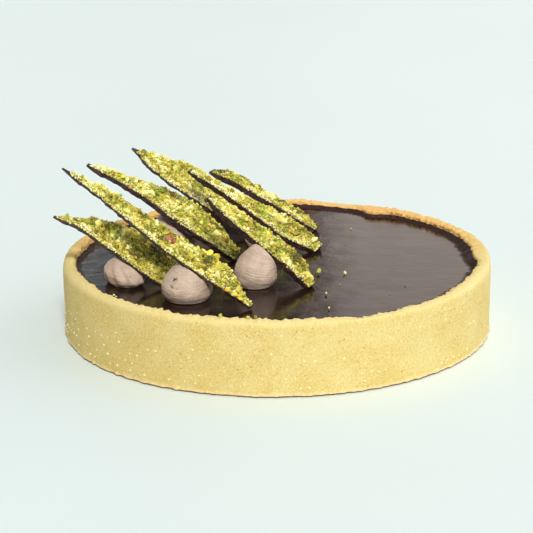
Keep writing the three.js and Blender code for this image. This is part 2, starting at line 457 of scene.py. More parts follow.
print("inner edge at the front:", round(INNER - inner_edge_inward(-math.pi / 2), 2), "mm")

# %% Turning a profile
def spaced(points, step):
    """Adds points to a profile so that none of its steps is longer than step."""
    filled = [points[0]]
    for start, end in pairwise(points):
        parts = max(1, math.ceil(math.dist(start, end) / step))
        for i in range(1, parts + 1):
            filled.append(tuple(lerp(a, b, i / parts) for a, b in zip(start, end)))
    return filled


def eased(points, rounds):
    """Rounds a profile's corners: each point moves towards the middle of its neighbours."""
    for _ in range(rounds):
        middles = [
            tuple(b + 0.25 * (a - 2 * b + c) for a, b, c in zip(before, here, after))
            for before, here, after in zip(points, points[1:], points[2:])
        ]
        points = [points[0], *middles, points[-1]]
    return points


SECTORS = 12


def turned(profile, steps):
    """A closed bmesh made by spinning a profile of (radius, height) once round the Z axis."""
    bm = bmesh.new()
    line = [bm.verts.new((radius, 0, height)) for radius, height in profile]
    edges = [bm.edges.new(pair) for pair in pairwise(line)]
    bmesh.ops.spin(
        bm, geom=line + edges, cent=(0, 0, 0), axis=(0, 0, 1), dvec=(0, 0, 0),
        angle=2 * math.pi / SECTORS, steps=steps // SECTORS, use_merge=False, use_duplicate=False,
    )
    bmesh.ops.spin(
        bm, geom=bm.verts[:] + bm.edges[:] + bm.faces[:], cent=(0, 0, 0), axis=(0, 0, 1),
        dvec=(0, 0, 0), angle=2 * math.pi, steps=SECTORS, use_merge=True, use_duplicate=True,
    )
    bmesh.ops.remove_doubles(bm, verts=bm.verts, dist=0.004)
    bmesh.ops.recalc_face_normals(bm, faces=bm.faces)
    if any(len(edge.link_faces) != 2 for edge in bm.edges):
        print("careful: a turned form is open")
    return bm


def wander(point):
    """Moves a point of the wall or the filling with the wandering inner edge and rim."""
    radius = math.hypot(point.x, point.y)
    reach = smoothstep(radius, INNER * 0.6, INNER * 0.97)
    if reach == 0:
        return
    angle = angle_of(point)
    to_inside = reach * (1 - smoothstep(radius, INNER + 0.6, INNER + 4))
    to_top = smoothstep(point.z, GANACHE_LEVEL + MENISCUS, CASE_HEIGHT)
    moved = radius - to_inside * inner_edge_inward(angle)
    point.x *= moved / radius
    point.y *= moved / radius
    point.z += to_top * rim_rise(angle)


print("a line of", len(spaced([(0, 0), (10, 0)], 0.6)), "points")

# %% The case's own section
FOOT_TUCK = 1.2             # how far the wall draws in under its lip
WALL_STEP = 0.66
RIM_STEP = 0.36
CASE_STEPS = 1080


def case_profile():
    R, H = CASE_RADIUS, CASE_HEIGHT
    under = spaced([(0, 0), (60, 0), (R - FOOT_TUCK - 0.6, 0)], 30)
    lip = [
        (R - FOOT_TUCK, 0.1), (R - FOOT_TUCK + 0.05, 0.3), (R - FOOT_TUCK + 0.4, 0.5),
        (R - 0.4, 0.65), (R + 0.05, 0.85), (R + 0.12, 1.2), (R - 0.15, 1.7), (R - 0.35, 2.4),
    ]
    wall = spaced([(R - 0.28, 3.2), (R - 0.2, 0.35 * H), (R, 0.7 * H), (R - 0.05, H - 3.4)], WALL_STEP)
    rim = spaced([
        (R - 0.15, H - 2.6), (R - 0.6, H - 1.3), (R - 1.6, H - 0.35), (R - 2.9, H - 0.02),
        (R - 4.5, H - 0.03), (INNER + 0.4, H - 0.1), (INNER + 0.02, H - 0.7), (INNER, H - 2.0),
    ], RIM_STEP)
    inside = [
        (INNER - 0.02, H - 2.7), (INNER - 0.1, H - 5), (INNER - 0.3, 0.6 * H),
        (INNER - 0.9, CASE_FLOOR + 4), (INNER - 3, CASE_FLOOR), (0, CASE_FLOOR),
    ]
    return under + lip + wall[:-1] + eased(wall[-1:] + rim, 2)[1:] + inside


def crumble(point, normal):
    """Bakes the surface: soft dents, a fine crumb, a broken inner corner and a flaky back."""
    angle = angle_of(point)
    radius = math.hypot(point.x, point.y)
    outside = smoothstep(radius, CASE_RADIUS - 3.2, CASE_RADIUS - 1.2)
    top = smoothstep(point.z, CASE_HEIGHT - 3.2, CASE_HEIGHT - 1.2)
    dents = 0.10 * rough(point, 9) * outside
    crumb = 0.07 * rough(point, 2.2, 5) + 0.06 * rough(point, 1.3, 9)
    if top > 0:
        back = smoothstep(math.sin(angle), -0.2, 0.5)
        crumb += top * (0.12 + 0.55 * back) * (rough(point, 2.6, 40) + 0.8 * rough(point, 1.2, 44))
        from_edge = radius - INNER + inner_edge_inward(angle)
        corner = top * (1 - smoothstep(from_edge, 0.4, 2.0))
        chips = 1.6 * max(0, rough(point, 1.35, 21) - 0.02) + 0.5 * max(0, rough(point, 4.5, 33))
        whole = 1 - 0.85 * bump_at(angle, 22, 42)
        point.z -= corner * (chips * whole + nick_at(angle))
    point += normal * (dents + crumb)
    foot = (1 - smoothstep(point.z, 1.7, 2.9)) * outside
    if foot > 0:
        flat = (point.x, point.y, 0)
        ragged = 0.5 * rough(flat, 1.6, 14) + 0.5 * rough(flat, 4, 3) - 0.1
        shift = foot * smoothstep(point.z, 0.35, 0.8) * ragged / radius
        point.x *= 1 + shift
        point.y *= 1 + shift
        point.z += 0.5 * foot * smoothstep(point.z, 0.35, 0.8) * rough((point.x, point.y, 9), 3.2, 8)


def make_case(finish):
    bm = turned(case_profile(), CASE_STEPS)
    bm.normal_update()
    for vert in bm.verts:
        wander(vert.co)
        if vert.co.z > 0.05 and math.hypot(vert.co.x, vert.co.y) > INNER - 3:
            crumble(vert.co, vert.normal)
    return piece_from(bm, "shortcrust_case", [finish])


print("points in the case's section:", len(case_profile()))

# %% [markdown]
# ### The look of baked shortcrust
#
# Baked shortcrust is matt and pale gold, with a fine grain of flour and butter. A single colour
# would look like plastic, so a fine grain mixes cream with gold, a faint cloud drifts under it,
# small pits are ochre, and the rim is toasted along its inner corner, most of all at the back.
# Three marks are painted light: the left side is a darker gold as painted shade, the top of the rim
# is paler towards the front as a painted highlight, and a thin brown band under the lip is a painted
# shadow. The grain also raises the surface, because side light shows it first.

# %% Shortcrust finish
CRUST_CREAM = tint(234, 216, 152)
CRUST_PALE = tint(219, 198, 129)
CRUST_GOLD = tint(214, 186, 108)
CRUST_OCHRE = tint(178, 142, 66)
CRUST_TOAST = tint(230, 180, 106)
CRUST_BROWN = tint(130, 100, 44)
CRUST_LIP = tint(232, 204, 150)
# Painted shadow: the brown colour for the thin band under the lip.
CRUST_SHADE_UNDER_LIP = tint(150, 104, 62)


def shortcrust_finish():
    finish = Finish("baked_shortcrust", Roughness=0.8)
    finish.let_light_in(0.06, (1.0, 0.6, 0.3), 0.8)
    x, y, z = finish.axes()
    grain = finish.noise(grain=0.8, detail=3, rough=0.6)
    cloud = finish.noise(grain=14, detail=4)
    # baked_and_left_shade: a random baked cloud, plus painted shade that makes the left side a darker
    # gold.
    baked_and_left_shade = finish.fade(cloud, 0.3, 0.75) + finish.fade(x, 20 * MM, -90 * MM, 0, 0.3)
    colour = finish.blend(baked_and_left_shade, CRUST_PALE, CRUST_GOLD)
    colour = finish.blend(finish.fade(grain, 0.5, 0.68) * 0.65, colour, CRUST_CREAM)
    colour = finish.blend(finish.fade(grain, 0.46, 0.3) * 0.42, colour, CRUST_OCHRE)
    pits = finish.fade(finish.spots(grain=3.2), 0.17, 0.08) * finish.fade(cloud, 0.35, 0.6)
    colour = finish.blend(pits * 0.7, colour, CRUST_OCHRE)
    specks = finish.fade(finish.spots(grain=8), 0.07, 0.03)
    colour = finish.blend(specks * 0.6, colour, CRUST_BROWN)
    radius = (x * x + y * y) ** 0.5
    upper = finish.fade(z, 31 * MM, 33.5 * MM)
    corner = finish.fade(radius, (INNER + 3.0) * MM, (INNER + 0.2) * MM, 0.0, 0.8)
    back = finish.fade(y, -30 * MM, 60 * MM, 0.2, 1.0)
    outside = finish.fade(radius, (CASE_RADIUS - 4) * MM, (CASE_RADIUS - 2) * MM)
    lip = finish.fade(z, 2.0 * MM, 1.3 * MM) * outside
    colour = finish.blend(lip * 0.8, colour, CRUST_LIP)
    # Painted shadow: a thin band under the lip is painted brown.
    colour = finish.blend(lip * finish.fade(z, 0.8 * MM, 0.45 * MM), colour, CRUST_SHADE_UNDER_LIP)
    # Painted highlight: the top of the rim is paler towards the front, where the lamp falls on it.
    colour = finish.blend(upper * finish.fade(y, 20 * MM, -50 * MM) * 0.45, colour, CRUST_CREAM)
    toasted = upper * back * (corner + back * 0.55) * finish.fade(grain, 0.2, 0.6, 1.0, 0.75)
    colour = finish.blend(toasted, colour, CRUST_TOAST)
    relief = finish.bump(grain - pits * 0.6, 0.3)
    return finish.surface(Base_Color=colour, Roughness=0.74 + grain * 0.16, Normal=relief)


crust_finish = shortcrust_finish()
case = make_case(crust_finish)
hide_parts("crust_case")

# %% [markdown]
# ### Dots from the ring
#
# The dough rises a little into the holes of the baking ring, which leaves small raised dots where
# it touched well. They sit in even rows, but many are missing. Each could be a few faces pushed
# out of the wall, but the wall's own faces are too wide for that. So the dots are tiny flattened
# balls, more than half sunk, and joined into one mesh.

# %% Repeatable draws, and joining many small shapes
def random_source(seed):
    return np.random.RandomState(seed)


def shape_arrays(bm):
    """The corner points and triangles of a small bmesh, which is used up."""
    bmesh.ops.triangulate(bm, faces=bm.faces)
    bmesh.ops.recalc_face_normals(bm, faces=bm.faces)
    bm.verts.index_update()
    points = np.array([vert.co for vert in bm.verts])
    corners = np.array([[vert.index for vert in face.verts] for face in bm.faces])
    bm.free()
    return points, corners


def joined_copies(name, copies, finishes, shades=None, sharp_over=None):
    """One mesh from many placed copies: each copy is (points in millimetres, corners)."""
    starts = np.cumsum([0] + [len(points) for points, _ in copies])
    points = np.concatenate([points for points, _ in copies]) * MM
    corners = np.concatenate([corners + start for (_, corners), start in zip(copies, starts)])
    mesh = bpy.data.meshes.new(name)
    mesh.vertices.add(len(points))
    mesh.vertices.foreach_set("co", points.astype(np.float32).ravel())
    mesh.loops.add(corners.size)
    mesh.loops.foreach_set("vertex_index", corners.astype(np.int32).ravel())
    mesh.polygons.add(len(corners))
    mesh.polygons.foreach_set("loop_start", np.arange(0, corners.size, 3, dtype=np.int32))
    if shades is not None:
        spread = np.repeat(shades, [len(points) for points, _ in copies])
        attribute = mesh.attributes.new("shade", "FLOAT", "POINT")
        attribute.data.foreach_set("value", spread.astype(np.float32))
    mesh.update(calc_edges=True)
    return piece_of(mesh, name, finishes, sharp_over)


def turn_matrix(draw):
    """A random turn, from a draw of four numbers around 0."""
    w, x, y, z = draw / np.linalg.norm(draw)
    return np.array([
        [1 - 2 * (y * y + z * z), 2 * (x * y - z * w), 2 * (x * z + y * w)],
        [2 * (x * y + z * w), 1 - 2 * (x * x + z * z), 2 * (y * z - x * w)],
        [2 * (x * z - y * w), 2 * (y * z + x * w), 1 - 2 * (x * x + y * y)],
    ])


print("a turn keeps lengths:", round(float(np.linalg.det(turn_matrix(np.ones(4)))), 3))

# %% The ring's dots
DOT_ROW_GAP = 3.9
DOT_SPACING = 4.2
DOT_CREAM = tint(240, 224, 168)


def dot_finish():
    """The dots touched the hot ring last, so they stay paler than the wall."""
    finish = Finish("pale_dots", Roughness=0.8)
    grain = finish.noise(grain=0.6, detail=2)
    colour = finish.blend(finish.fade(grain, 0.35, 0.6), CRUST_CREAM, DOT_CREAM)
    return finish.surface(Base_Color=colour, Normal=finish.bump(grain, 0.1))


def make_dots(finish):
    draws = random_source(5)
    bm = bmesh.new()
    bmesh.ops.create_icosphere(bm, subdivisions=2, radius=1.0)
    ball, corners = shape_arrays(bm)
    copies = []
    rows = int((CASE_HEIGHT - 7) / DOT_ROW_GAP)
    around = int(2 * math.pi * CASE_RADIUS / DOT_SPACING)
    for row in range(rows):
        for place in range(around):
            chance, slide, climb, size = draws.rand(4)
            angle = 2 * math.pi * (place + 0.5 * (row % 2) + 0.3 * (slide - 0.5)) / around
            height = 4.6 + row * DOT_ROW_GAP + 0.8 * (climb - 0.5)
            left = smoothstep(-math.cos(angle), 0.0, 0.8)
            low = 1 - smoothstep(height, 8, 24)
            kept = 0.04 + left * (0.05 + 0.3 * low) + 0.12 * low + 0.3 * rough((angle * 20, height, 0), 8)
            if chance > kept:
                continue
            across = 0.42 + 0.36 * size ** 1.5
            out = Matrix.Rotation(angle, 3, "Z") @ Matrix.Diagonal((0.34, across, across * 0.9))
            middle = np.array([math.cos(angle), math.sin(angle), 0]) * (CASE_RADIUS - 0.18)
            middle[2] = height
            copies.append((ball @ np.array(out).T + middle, corners))
    print("dots:", len(copies))
    return joined_copies("ring_dots", copies, [finish])


dots = make_dots(dot_finish())

# %% [markdown]
# ## The ganache
#
# Warm ganache is poured to just under the rim. It levels itself, climbs where it wets the crust
# and then sets with a gloss. The mirror is what tells the eye it is chocolate, so the mesh is
# nearly flat, with very shallow waves that bend the reflections. The raised edge is a steady
# slope some millimetres wide, and its lower end is ragged, because it crept up in small steps.

# %% Pouring the filling
FILLING_STEPS = 840
SLOPE_WIDTH = 1.9


def filling_profile():
    edge = INNER - GAP
    base = CASE_FLOOR + GAP
    L = GANACHE_LEVEL
    under = [
        (0, base), (edge - 3.2, base), (edge - 1.1, base + 4), (edge - 0.35, 0.6 * CASE_HEIGHT),
        (edge - 0.05, L - 1),
    ]
    return under + spaced([(edge, L), (edge - 9, L)], 0.36) + spaced([(edge - 11, L), (0, L)], 2.4)


@cache
def slope_width(angle):
    """How far the raised edge reaches in: widest at the right, ragged everywhere."""
    right = bump_at(angle, -2, 17)
    back = smoothstep(math.sin(angle), 0.1, 0.6)
    ragged = 1.2 * on_ring(angle, 8, 31) + 0.5 * on_ring(angle, 3.4, 37)
    left = bump_at(angle, 190, 50)
    return SLOPE_WIDTH + 1.2 * right - 0.4 * back - 1.0 * left + (0.6 + 0.8 * right) * ragged


@cache
def slope_rise(angle):
    """How high it climbs: nearly to the top of the rim at the back."""
    right = bump_at(angle, 2, 16)
    left = bump_at(angle, 190, 50)
    return MENISCUS - 0.1 + 1.6 * right - 0.6 * left + 0.25 * smoothstep(math.sin(angle), 0.1, 0.6)


def set_surface(vert, raised):
    """Shallow waves inside, and the slope up to the crust."""
    point = vert.co
    if point.z < GANACHE_LEVEL - 0.5:
        return
    radius = math.hypot(point.x, point.y)
    angle = angle_of(point)
    calm = 1 - smoothstep(radius, INNER - 9, INNER - 5)
    point.z += calm * (0.05 * rough(point, 34, 3) + 0.03 * rough(point, 9, 8))
    if radius > INNER - 14:
        from_edge = INNER - GAP - inner_edge_inward(angle) - radius
        share = clamp(1 - from_edge / slope_width(angle))
        vert[raised] = smoothstep(from_edge, slope_width(angle) + 2.4, slope_width(angle) - 0.2)
        uneven = 0.4 * rough(point, 2.6, 17) + 0.16 * rough(point, 1.3, 19)
        point.z += share * slope_rise(angle) + share ** 0.5 * uneven


def make_filling(finish):
    bm = turned(filling_profile(), FILLING_STEPS)
    raised = bm.verts.layers.float.new("raised")
    for vert in bm.verts:
        wander(vert.co)
        set_surface(vert, raised)
    return piece_from(bm, "poured_ganache", [finish])


print("points in the filling's section:", len(filling_profile()))

# %% [markdown]
# ### The look of set ganache
#
# Dark chocolate takes nearly all its brightness from its gloss: the shader's own Fresnel makes it
# mirror the pale room at a low angle and stay almost black from above. A faint, blotchy roughness,
# a shallow relief like brush strokes and a few pin pricks of trapped air break the mirror up, as
# they do on the real filling. Along the raised edge the colour is a lighter brown: a painted,
# blurred reflection of the crust.

# %% Ganache finish
GANACHE_DARK = tint(27, 16, 13)
GANACHE_WARM = tint(38, 23, 19)
GANACHE_BLOOM = tint(66, 46, 39)
# Painted reflection: the lighter brown of the raised edge stands in for the blurred crust in the mirror.
GANACHE_EDGE_REFLECTION = tint(58, 38, 33)


def ganache_finish():
    finish = Finish("set_ganache", IOR=1.27)
    cloud = finish.noise(grain=16, detail=4)
    strokes = finish.noise(grain=8, detail=5, stretch=(0.7, 0.9, 1))
    fine = finish.noise(grain=1.2, detail=3)
    colour = finish.blend(cloud, GANACHE_DARK, GANACHE_WARM)
    colour = finish.blend(finish.fade(strokes, 0.55, 0.75) * 0.35, colour, GANACHE_BLOOM)
    air = finish.fade(finish.spots(grain=7), 0.045, 0.02)
    colour = finish.blend(air * 0.8, colour, GANACHE_BLOOM)
    raised = finish.read("raised")
    # Painted reflection: the raised edge is tinted lighter brown, as a blurred reflection of the crust.
    colour = finish.blend(raised * 0.8, colour, GANACHE_EDGE_REFLECTION)
    gloss = finish.fade(cloud, 0.3, 0.75, 0.08, 0.17) + fine * 0.05 + raised * 0.45
    relief = finish.bump(strokes, 0.12)
    relief = finish.bump(fine * (raised * 18 + 1), 0.014, under=relief)
    return finish.surface(Base_Color=colour, Roughness=gloss, Normal=relief)


filling = make_filling(ganache_finish())
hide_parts("ganache_filling")

# %% [markdown]
# ## Where the shards lie
#
# Each shard is a thin plate with its low end on the ganache and its tip in the air. Its place is
# a foot, a heading, a pitch and a bank, and its outline is a row of half widths from foot to tip.
# The mousse has to know these planes too, since every dollop is squashed by the shard on it.

# %% The shards' places and outlines
# Per shard: foot, length, heading, pitch, bank and thickness, half widths on the near and the far
# side of the centre line from foot to tip, and how many large nibs lie on it from which seed.
# Two keys are there only where they are needed: `fuller` widens the far side beyond the solid,
# and `paler` lightens the nuts.
SHARDS = [
    dict(foot=(-49.9, -42.6, 33), length=60.4, heading=16.9, pitch=27.4, bank=14, thickness=1.6,
         near=(1.4, 1.2, -0.6, -1.8, -3.4, -0.3), far=(18, 22, 22.5, 20, 12, 1.6), nibs=17, seed=11),
    dict(foot=(-11.8, -75.2, 33), length=110.8, heading=31.1, pitch=26.7, bank=10, thickness=1.4,
         near=(0.2, 2.0, 3.2, 2.0, 0.6, 0), far=(2, 12, 10, 8.8, 6.6, 0.8), nibs=23, seed=23),
    dict(foot=(-20, -3.2, 33), length=83, heading=15.4, pitch=29.4, bank=12, thickness=2.4,
         near=(0.6, -0.8, -0.8, -3.6, -3.6, -1.2), far=(6, 14, 18, 16, 9.8, 3.0), nibs=20, seed=37,
         fuller=(1.5, 3.6, 3.2, 1.8, 0.4, 0)),
    dict(foot=(-12, 40.4, 33), length=73.6, heading=20, pitch=30.6, bank=14, thickness=1.4,
         near=(3, 3.3, 3.9, 4.6, 3.6, -0.6), far=(8, 13, 16, 17, 10, 1.8), nibs=18, seed=41, paler=0.1),
    dict(foot=(19.6, 12.1, 33), length=74, heading=21.1, pitch=26.1, bank=10, thickness=2.6,
         near=(3, 6.2, 4.0, 1.6, -0.2, 0), far=(5, 9.4, 8.6, 6.6, 4.6, 3.6), nibs=16, seed=59,
         paler=0.08),
    dict(foot=(15.7, -44.4, 33), length=62.3, heading=23.4, pitch=34.5, bank=12, thickness=3,
         near=(2.9, 1.6, 1.6, 1.6, 1.6, 0), far=(3, 10.5, 10, 9.4, 7.4, 2.4), nibs=16, seed=61),
    dict(foot=(18.4, 44.8, 33), length=60.8, heading=22.5, pitch=24.2, bank=-4, thickness=2.8,
         near=(-1.2, -1.4, -3.2, -2.6, -3.4, 0.8), far=(6, 13, 13, 13.5, 13.5, 6), nibs=14, seed=73),
]
GANACHE_TOUCH = GANACHE_LEVEL + GAP


def shard_place(shard):
    turn = Matrix.Rotation(math.radians(-shard["heading"]), 4, "Z")
    turn @= Matrix.Rotation(math.radians(shard["pitch"]), 4, "Y")
    turn @= Matrix.Rotation(math.radians(shard["bank"]), 4, "X")
    return Matrix.Translation(shard["foot"]) @ turn


def spline_at(values, share):
    """A smooth curve through evenly spaced values, read at a share from 0 to 1."""
    last = len(values) - 1
    i = min(int(share * last), last - 1)
    t = share * last - i
    before, here = values[max(i - 1, 0)], values[i]
    there, after = values[i + 1], values[min(i + 2, last)]
    bend = (2 * before - 5 * here + 4 * there - after) * t * t
    swing = (3 * here - before - 3 * there + after) * t * t * t
    return 0.5 * (2 * here + (there - before) * t + bend + swing)


def width_at(shard, along):
    """Middle and half width of a shard at a share of the way from its foot to its tip."""
    near, far = spline_at(shard["near"], along), spline_at(shard["far"], along)
    far += spline_at(shard.get("fuller", (0, 0, 0)), along)
    return (far - near) / 2, max((far + near) / 2, 0.25)


for shard in SHARDS:
    shard["place"] = shard_place(shard)
    shard["inverse"] = shard["place"].inverted()
    tip = shard["place"] @ Vector((-shard["length"], 0, 0))
    print("shard tip:", [round(v, 1) for v in tip])

# %% [markdown]
# ## The mousse
#
# Each dollop is piped from a round nozzle: it bulges just above its foot, folds over itself as it
# winds up, and ends in a small pulled peak. It is spun from an egg shaped profile, and soft folds
# and fine strokes are then pressed into it. The first one was dragged, so its side is ruffled, and
# the second one has a few torn air holes.
# Where a shard presses, the mousse gives way, so points are pushed below the shard's underside.

# %% The dollops' places
# Centre, radius, free height, how far the peak leans, which way, how long its foot is, ruffles.
DOLLOPS = [
    (-69.0, -34.4, 9.4, 12.5, 4, 128, 1.2, 0.05), (-39.9, -57.6, 11.4, 20, 4, 30, 1, 0),
    (-9.9, -38.2, 9.8, 20, 3, 40, 1, 0), (-3, 21, 11.4, 12, 3, 150, 1.05, 0.02),
    (-50, 17, 11.6, 22, 3, 60, 1, 0), (-36, 58, 11.6, 20, 3, 90, 1, 0.02),
    (-5, 63, 10.6, 13.5, 3, 20, 1.1, 0),
]
EGG = (0.84, 0.97, 1.0, 0.97, 0.89, 0.76, 0.57, 0.31, 0.0)
DOLLOP_RINGS = 84
DOLLOP_STEPS = 144
# Torn air holes in the second dollop: direction in degrees, height, radius and depth.
AIR_HOLES = [
    (-131, 10.3, 0.55, 1.6), (-125, 10.7, 0.42, 1.2), (-130, 7.9, 0.4, 1.2), (-126, 7.4, 0.38, 1.0),
    (-106, 15.2, 0.6, 0.5), (-60, 6.2, 0.4, 0.5),
]


def dollop_profile(radius, height):
    profile = [(0, 0), (radius * 0.4, 0)]
    for i in range(DOLLOP_RINGS):
        t = i / DOLLOP_RINGS
        profile.append((radius * spline_at(EGG, t), height * t))
    return profile + [(0, height)]


print("dollops:", len(DOLLOPS), "with", len(dollop_profile(10, 20)), "points in a section")

# %% Folds, torn holes and the weight of a shard
def pressed(point, shard):
    """Pushes a point that lies inside a shard, or in the space above it, out under the shard."""
    local = shard["inverse"] @ point
    along = -local.x / shard["length"]
    if not -0.03 < along < 1.03:
        return point
    middle, half = width_at(shard, clamp(along))
    beyond = abs(local.y - middle) - half - GAP
    ends = max(0, -local.x - shard["length"], local.x)
    ceiling = -shard["thickness"] - GAP + max(0, beyond, ends) * 2.5
    if local.z <= ceiling or beyond > 4:
        return point
    local.z = lerp(local.z, ceiling, 1 - smoothstep(beyond, 1.5, 4))
    return shard["place"] @ local


def piping(point, up, angle, seed, ruffle):
    """How far the surface stands out: folds that wind up, ruffles and fine slanting strokes."""
    belly = math.sin(math.pi * clamp(up))
    fold = 0.035 * math.sin(2 * angle + 11 * up + seed) * belly
    ruffles = ruffle * math.sin(9 * angle + 6 * up + 2 * rough(point, 5, seed)) * belly ** 0.5
    around = (3 * math.cos(angle), 3 * math.sin(angle), point.z * 1.5 + 3 * math.sin(angle + seed))
    strokes = 0.012 * rough(around, 1.4, seed) + 0.006 * rough(around, 0.6, seed + 2)
    lumps = 0.045 * rough(point, 6, seed + 4) + 0.012 * rough(point, 1.8, seed + 7)
    return 1 + fold + ruffles + strokes + lumps


def air_holes(point, angle):
    """How deep the torn holes are at this point of the second dollop."""
    depth = 0
    for at, height, radius, deep in AIR_HOLES:
        across = 11.0 * (angle - math.radians(at))
        depth += deep * math.exp(-((across * across + (point.z - height) ** 2) / radius ** 2))
    return depth


print("deepest hole:", max(deep for *_, deep in AIR_HOLES), "mm")

# %% Piping a dollop
def make_dollop(number, dollop, finish):
    x, y, radius, height, lean, turn, stretch, ruffle = dollop
    bm = turned(dollop_profile(radius, height), DOLLOP_STEPS)
    winding = bm.verts.layers.float.new("winding")
    torn = bm.verts.layers.float.new("torn")
    for vert in bm.verts:
        up = vert.co.z / height
        angle = math.atan2(vert.co.y, vert.co.x)
        out = piping(vert.co, up, angle, x, ruffle)
        if number == 2 and vert.co.z > 1:
            hole = air_holes(vert.co, angle + math.radians(turn))
            out -= hole / radius
            vert[torn] = smoothstep(hole, 0.35, 0.8)
        vert[winding] = up * 22 + 2.5 * math.sin(angle + x)
        vert.co.x = vert.co.x * out * stretch + lean * up * up
        vert.co.y = vert.co.y * out / stretch
    place = Matrix.Translation((x, y, GANACHE_TOUCH)) @ Matrix.Rotation(math.radians(turn), 4, "Z")
    bmesh.ops.transform(bm, matrix=place, verts=bm.verts)
    for vert in bm.verts:
        for shard in SHARDS:
            vert.co = pressed(vert.co, shard)
        vert.co.z = max(vert.co.z, GANACHE_TOUCH)
    bmesh.ops.recalc_face_normals(bm, faces=bm.faces)
    return piece_from(bm, f"piped_mousse_{number}", [finish])


print("points round a dollop:", DOLLOP_STEPS)

# %% [markdown]
# ### The look of mousse
#
# Milk chocolate mousse is a pinkish grey brown, satin and full of tiny air bubbles. Light passes
# a little way into it, which a small amount of subsurface gives. The bubbles are sparse pits,
# painted darker as painted shade inside them, and the fine lines of the piping follow the
# `winding` value that each point of the dollop carries.
# Inside the torn holes hardly any light returns, so their `torn` value makes them dark.

# %% Mousse finish
MOUSSE_LIGHT = tint(201, 177, 157)
MOUSSE_DEEP = tint(182, 158, 139)
# Painted shade: the darker colour inside the bubbles' pits.
MOUSSE_PIT_SHADE = tint(120, 95, 82)
MOUSSE_HOLE = tint(40, 28, 24)


def mousse_finish():
    finish = Finish("whipped_mousse", Roughness=0.6)
    finish.let_light_in(0.15, (1.0, 0.7, 0.5), 1.2)
    winding = finish.read("winding")
    line_inputs = {"W": winding, "Scale": 1.6, "Detail": 3.0}
    lines = finish.node("ShaderNodeTexNoise", {"noise_dimensions": "1D"}, line_inputs)
    cloud = finish.noise(grain=4, detail=3)
    colour = finish.blend(finish.fade(cloud * 0.7 + lines * 0.3, 0.35, 0.65), MOUSSE_DEEP, MOUSSE_LIGHT)
    bubbles = finish.fade(finish.spots(grain=3.0), 0.11, 0.04)
    # Painted shade: the bubbles' pits are darkened, as shade inside them.
    colour = finish.blend(bubbles * 0.7, colour, MOUSSE_PIT_SHADE)
    colour = finish.blend(finish.read("torn"), colour, MOUSSE_HOLE)
    relief = finish.bump(lines, 0.16)
    relief = finish.bump(finish.noise(grain=0.9, detail=4) - bubbles, 0.3, under=relief)
    return finish.surface(Base_Color=colour, Roughness=0.52 + cloud * 0.15, Normal=relief)


whipped = mousse_finish()
for number, dollop in enumerate(DOLLOPS, start=1):
    piped = make_dollop(number, dollop, whipped)
    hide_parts(f"mousse_dollop_{number}")

# %% [markdown]
# ## The chocolate shards
#
# Chocolate is spread thin, strewn with pistachio while it is soft, and snapped into long shards.
# A shard could be an extruded outline, but its top has to carry an uneven bed of ground nuts. So
# it starts as a grid that is laid into the outline, is thickened by an extrusion, and gets
# bevelled edges. Then its top is heaped up, its sides are roughened as snapped chocolate is, and
# whatever would sink into the ganache is flattened on it.

# %% The snapped outline and the bed of nuts
ALONG_STEP = 0.6
ACROSS_PARTS = 24
EDGE_ROUND = 0.28
BED_HEIGHT = 1.25
BARE_TIPS = {23: 4.0, 41: 3.0, 73: 0.9}     # by seed: how much of the tip carries no nuts


def snapped_edge(shard, along, side):
    """How far the snapped edge strays from the smooth outline."""
    point = (along * shard["length"], side * 40, shard["seed"])
    return 0.8 * rough(point, 5.5) + 0.6 * rough(point, 2.1, 3)


def on_plate(shard, along, across):
    """A place in the shard's own plane, from foot (0) to tip (1) and near (-1) to far (1)."""
    middle, half = width_at(shard, along)
    taper = smoothstep(along, 1.0, 0.9) * smoothstep(half, 0.25, 2.0)
    edge = half + taper * snapped_edge(shard, along, 1 if across > 0 else -1)
    return Vector((-along * shard["length"], middle + across * max(edge, 0.25), 0))


def bed_height(shard, x, y, inset):
    """How high the ground nuts are heaped over the chocolate, in clumps that fall off at the edge."""
    point = (x, y, shard["seed"] * 3)
    heap = 0.55 + 1.1 * rough(point, 5.2) + 0.9 * rough(point, 2.3, 6)
    bare = BARE_TIPS.get(shard["seed"], 0.6)
    from_tip = smoothstep(shard["length"] + x, bare, bare + 2.5)
    return BED_HEIGHT * clamp(heap, 0.16, 1.6) * smoothstep(inset, -0.1, 0.9) * from_tip


print("bed in the middle of the first shard:", round(bed_height(SHARDS[0], -30, 10, 8), 2), "mm")

# %% A snapped plate
def plate_grid(shard):
    parts = round(shard["length"] / ALONG_STEP)
    bm = bmesh.new()
    bmesh.ops.create_grid(bm, x_segments=parts, y_segments=ACROSS_PARTS, size=1.0)
    for vert in bm.verts:
        vert.co = on_plate(shard, clamp(0.5 - vert.co.x / 2), vert.co.y)
    return bm


def shape_plate(bm, shard, cover):
    """Heaps the top, hollows the underside a little and roughens the snapped sides."""
    for vert in bm.verts:
        x, y, depth = vert.co
        middle, half = width_at(shard, clamp(-x / shard["length"]))
        inset = half - abs(y - middle)
        vert.co.z *= lerp(0.4, 1.0, smoothstep(shard["length"] + x, -1, 7))
        if depth > -0.05:
            rise = bed_height(shard, x, y, inset)
            vert.co.z += rise
            vert[cover] = smoothstep(rise, 0.02, 0.16)
        elif depth < -shard["thickness"] + 0.05:
            vert.co.z += 0.3 * rough((x, y, 9), 3) * smoothstep(inset, -0.4, 1.0)
        else:
            chipped = 0.5 * rough((x, 0, depth * 1.6 + y), 2.2, 4)
            chipped += 0.3 * rough((x, 5, depth + y), 0.9, 4)
            vert.co.y += chipped * smoothstep(half, 0.4, 1.6)


